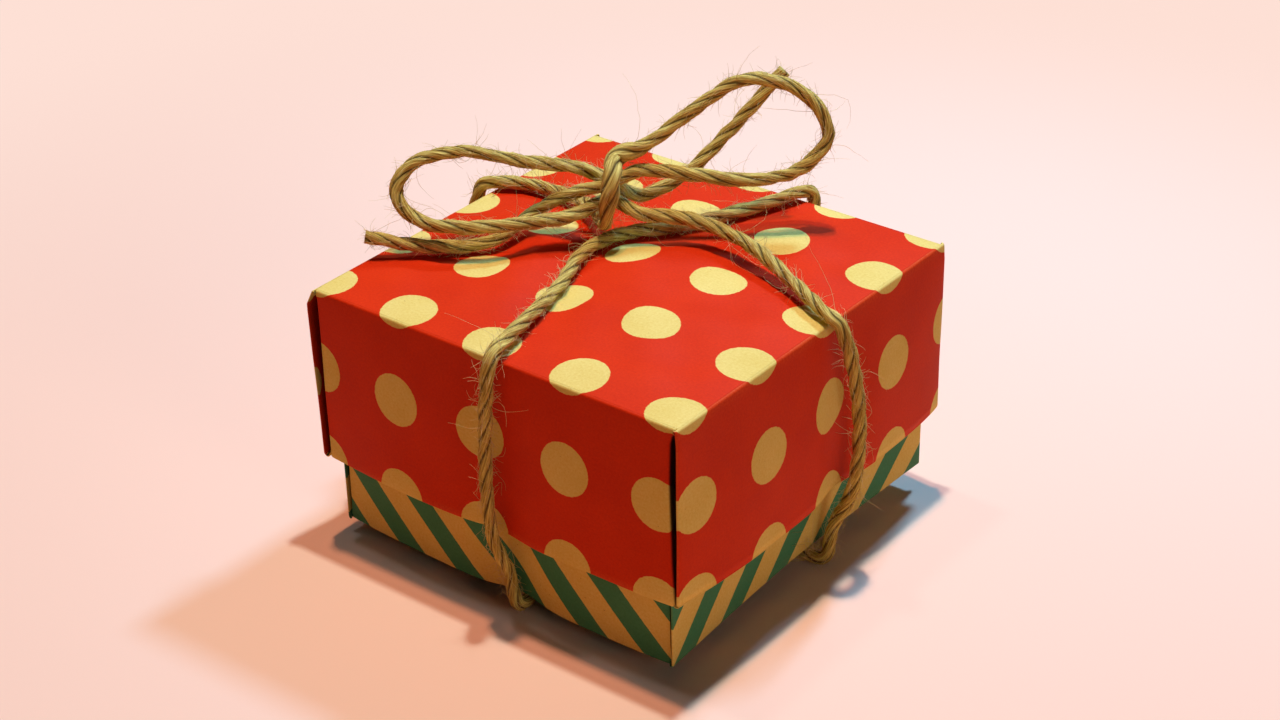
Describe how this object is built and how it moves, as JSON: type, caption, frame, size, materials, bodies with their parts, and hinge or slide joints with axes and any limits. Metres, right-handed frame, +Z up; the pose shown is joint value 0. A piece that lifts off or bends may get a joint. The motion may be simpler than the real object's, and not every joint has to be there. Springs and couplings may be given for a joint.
{
  "type": "origami gift box",
  "caption": "Square origami box with a separate lid, each folded from one printed paper sheet, tied both ways with jute twine in a bow.",
  "frame": {"origin": "centre of the footprint, on the surface the tied box stands on", "axes": "+Z up, X and Y along the box's sides; -Y and +X are the two walls that face the picture's camera"},
  "size_m": [0.0644, 0.062, 0.0577],
  "materials": {
    "striped_paper": "uncoated kraft paper printed with green diagonal stripes",
    "dotted_paper": "uncoated kraft paper printed red with bare round dots",
    "jute_twine": "plied natural jute, hairy"
  },
  "bodies": {
    "root": {"box_base": "striped_paper", "box_lid": "dotted_paper", "twine": "jute_twine"}
  },
  "joints": []
}
